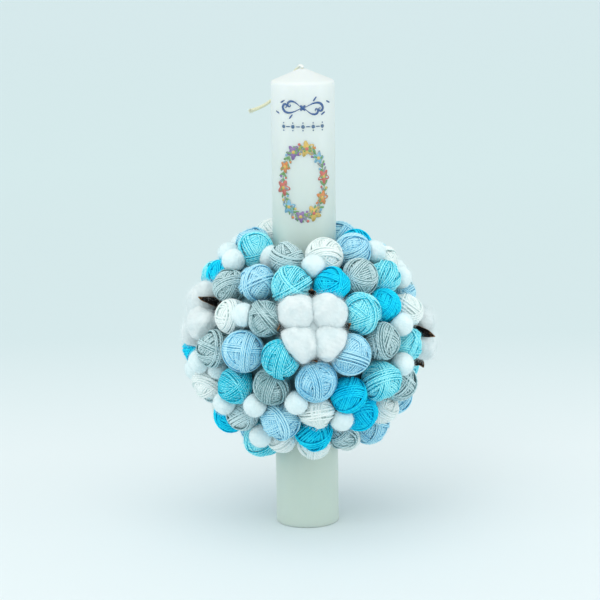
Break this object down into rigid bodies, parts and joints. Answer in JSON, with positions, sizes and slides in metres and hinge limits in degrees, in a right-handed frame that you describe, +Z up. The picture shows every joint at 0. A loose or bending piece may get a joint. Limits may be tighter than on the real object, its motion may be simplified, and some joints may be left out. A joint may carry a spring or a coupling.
{
  "type": "baptism candle",
  "caption": "Tall wax pillar candle standing in a ball of small wound yarn balls, felt pompoms and open cotton bolls.",
  "frame": {"origin": "middle of the candle's flat foot", "axes": "+Z up along the candle; -Y is the front, with the front cotton boll; +X is to the right seen from the front"},
  "size_m": [0.2233, 0.2232, 0.4035],
  "materials": {
    "wax": "satin wax, slightly translucent",
    "wick": "waxed cotton braid",
    "foam": "expanded foam, painted",
    "husk": "dry matt bract",
    "cotton": "loose fluffy lint",
    "yarn_gray": "matt wound yarn",
    "yarn_aqua": "matt wound yarn",
    "yarn_white": "matt wound yarn",
    "yarn_periwinkle": "matt wound yarn",
    "yarn_turquoise": "matt wound yarn",
    "yarn_mixed": "matt wound yarn of several colours"
  },
  "bodies": {
    "root": {"candle_body": "wax", "wick_in_wax": "wick", "wick_free_end": "wick", "foam_core": "foam", "cotton_husk_front": "husk", "cotton_husk_left": "husk", "cotton_husk_right": "husk", "cotton_husk_back": "husk", "cotton_lint_front": "cotton", "cotton_lint_left": "cotton", "cotton_lint_right": "cotton", "cotton_lint_back": "cotton", "yarn_gray_top": "yarn_gray", "yarn_gray_upper_left": "yarn_gray", "yarn_gray_upper_right": "yarn_gray", "yarn_gray_front": "yarn_gray", "yarn_gray_left": "yarn_gray", "yarn_gray_right": "yarn_gray", "yarn_gray_lower_front": "yarn_gray", "yarn_gray_bottom_left": "yarn_gray", "yarn_aqua_top": "yarn_aqua", "yarn_aqua_upper_front": "yarn_aqua", "yarn_aqua_upper_right": "yarn_aqua", "yarn_aqua_right": "yarn_aqua", "yarn_aqua_front": "yarn_aqua", "yarn_aqua_lower_left": "yarn_aqua", "yarn_aqua_lower_right": "yarn_aqua", "yarn_white_top": "yarn_white", "yarn_white_left": "yarn_white", "yarn_white_lower_front": "yarn_white", "yarn_periwinkle_top": "yarn_periwinkle", "yarn_periwinkle_upper_left": "yarn_periwinkle", "yarn_periwinkle_left": "yarn_periwinkle", "yarn_periwinkle_right": "yarn_periwinkle", "yarn_periwinkle_lower_front": "yarn_periwinkle", "yarn_periwinkle_bottom": "yarn_periwinkle", "yarn_turquoise_upper_front": "yarn_turquoise", "yarn_turquoise_right": "yarn_turquoise", "yarn_turquoise_pair": "yarn_turquoise", "yarn_turquoise_bottom": "yarn_turquoise", "yarn_white_aqua_right": "yarn_mixed", "yarn_gray_bottom_right": "yarn_mixed", "yarn_right_lower": "yarn_mixed", "yarn_left_lower": "yarn_mixed", "yarn_left_middle": "yarn_mixed", "yarn_left_bottom": "yarn_mixed", "yarn_foot_left": "yarn_mixed", "yarn_left_top": "yarn_mixed", "yarn_left_upper": "yarn_mixed", "yarn_right_upper": "yarn_mixed", "yarn_back_top": "yarn_mixed", "yarn_back_right": "yarn_mixed", "yarn_back_left": "yarn_mixed", "yarn_back_right_middle": "yarn_mixed", "yarn_back_left_middle": "yarn_mixed", "yarn_back_middle": "yarn_mixed", "yarn_right_bottom": "yarn_mixed", "yarn_back_bottom": "yarn_mixed", "yarn_back_left_bottom": "yarn_mixed"}
  },
  "joints": []
}
